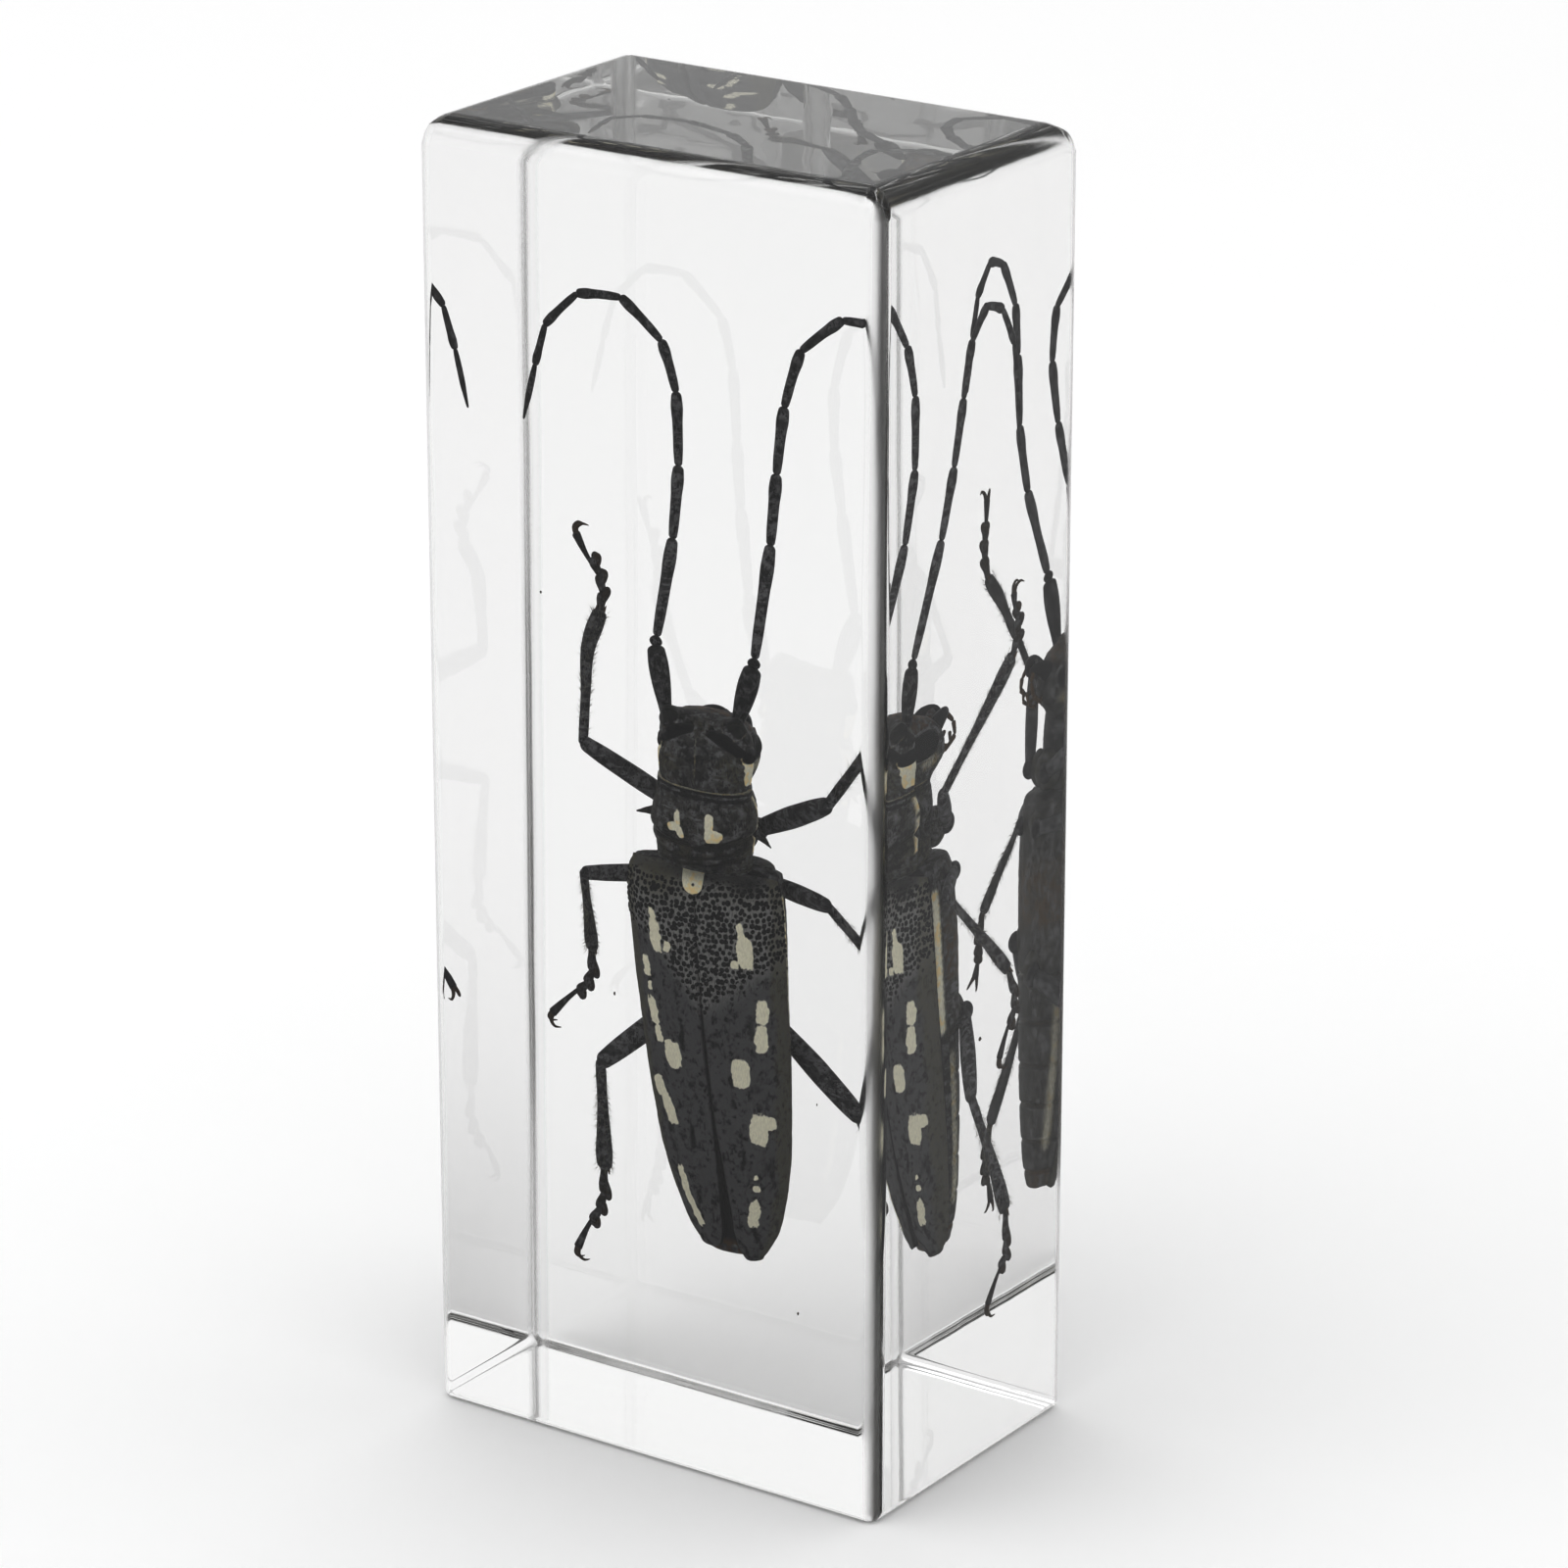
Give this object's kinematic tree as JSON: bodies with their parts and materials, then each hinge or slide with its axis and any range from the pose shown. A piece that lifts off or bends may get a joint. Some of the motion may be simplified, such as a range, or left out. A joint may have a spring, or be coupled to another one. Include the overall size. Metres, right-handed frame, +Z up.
{
  "type": "insect in resin block",
  "caption": "Standing block of clear cast resin with flat polished faces, holding a white-spotted longhorn beetle with spread legs and long curved antennae.",
  "frame": {"origin": "middle of the block's flat base", "axes": "+Z up, towards the beetle's head; -Y out of the broad front face, which the beetle's back faces; +X towards the right-hand narrow face"},
  "size_m": [0.044, 0.028, 0.11],
  "materials": {
    "clear_resin": "polished, water clear",
    "beetle_shell": "satin black chitin with cream spots"
  },
  "bodies": {
    "root": {"resin_front": "clear_resin", "resin_back": "clear_resin", "beetle": "beetle_shell"}
  },
  "joints": []
}
